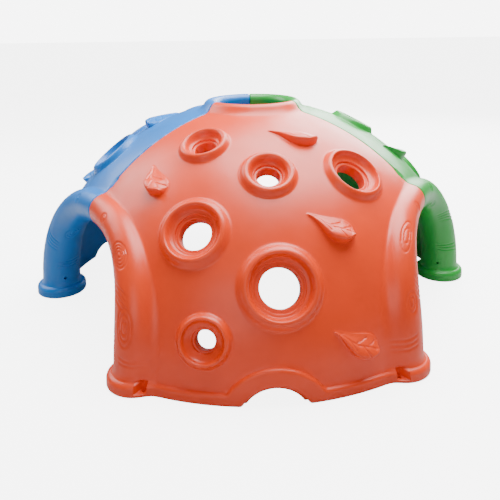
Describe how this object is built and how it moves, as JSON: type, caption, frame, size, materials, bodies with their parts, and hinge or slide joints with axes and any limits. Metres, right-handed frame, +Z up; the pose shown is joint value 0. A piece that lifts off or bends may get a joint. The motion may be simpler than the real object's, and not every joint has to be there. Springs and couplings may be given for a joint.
{
  "type": "playground climbing dome",
  "caption": "Low hollow climbing dome of moulded plastic sectors with ringed holes, leaf-shaped grips, arched crawl ways and a round opening at the top.",
  "frame": {"origin": "bottom middle of the whole dome at ground level; the dome's axis stands 29.5 mm behind it, towards +Y", "axes": "+Z up; -Y towards the middle of the red panel; +X to the right seen from in front of the red panel"},
  "size_m": [1.9996, 1.8329, 0.837],
  "materials": {
    "red_panel": "satin blow-moulded polyethylene",
    "green_panel": "satin blow-moulded polyethylene",
    "blue_panel": "satin blow-moulded polyethylene",
    "bolt_steel": "zinc plated",
    "nut_steel": "bright plated"
  },
  "bodies": {
    "root": {"red_panel": "red_panel", "green_panel": "green_panel", "blue_panel": "blue_panel", "red_green_upper_bolt": "bolt_steel", "red_green_upper_head_washer": "bolt_steel", "red_green_upper_nut_washer": "bolt_steel", "red_green_upper_cap_nut": "nut_steel", "red_green_middle_bolt": "bolt_steel", "red_green_middle_head_washer": "bolt_steel", "red_green_middle_nut_washer": "bolt_steel", "red_green_middle_cap_nut": "nut_steel", "red_green_lower_bolt": "bolt_steel", "red_green_lower_head_washer": "bolt_steel", "red_green_lower_nut_washer": "bolt_steel", "red_green_lower_cap_nut": "nut_steel", "green_blue_upper_bolt": "bolt_steel", "green_blue_upper_head_washer": "bolt_steel", "green_blue_upper_nut_washer": "bolt_steel", "green_blue_upper_cap_nut": "nut_steel", "green_blue_middle_bolt": "bolt_steel", "green_blue_middle_head_washer": "bolt_steel", "green_blue_middle_nut_washer": "bolt_steel", "green_blue_middle_cap_nut": "nut_steel", "green_blue_lower_bolt": "bolt_steel", "green_blue_lower_head_washer": "bolt_steel", "green_blue_lower_nut_washer": "bolt_steel", "green_blue_lower_cap_nut": "nut_steel", "blue_red_upper_bolt": "bolt_steel", "blue_red_upper_head_washer": "bolt_steel", "blue_red_upper_nut_washer": "bolt_steel", "blue_red_upper_cap_nut": "nut_steel", "blue_red_middle_bolt": "bolt_steel", "blue_red_middle_head_washer": "bolt_steel", "blue_red_middle_nut_washer": "bolt_steel", "blue_red_middle_cap_nut": "nut_steel", "blue_red_lower_bolt": "bolt_steel", "blue_red_lower_head_washer": "bolt_steel", "blue_red_lower_nut_washer": "bolt_steel", "blue_red_lower_cap_nut": "nut_steel"}
  },
  "joints": []
}
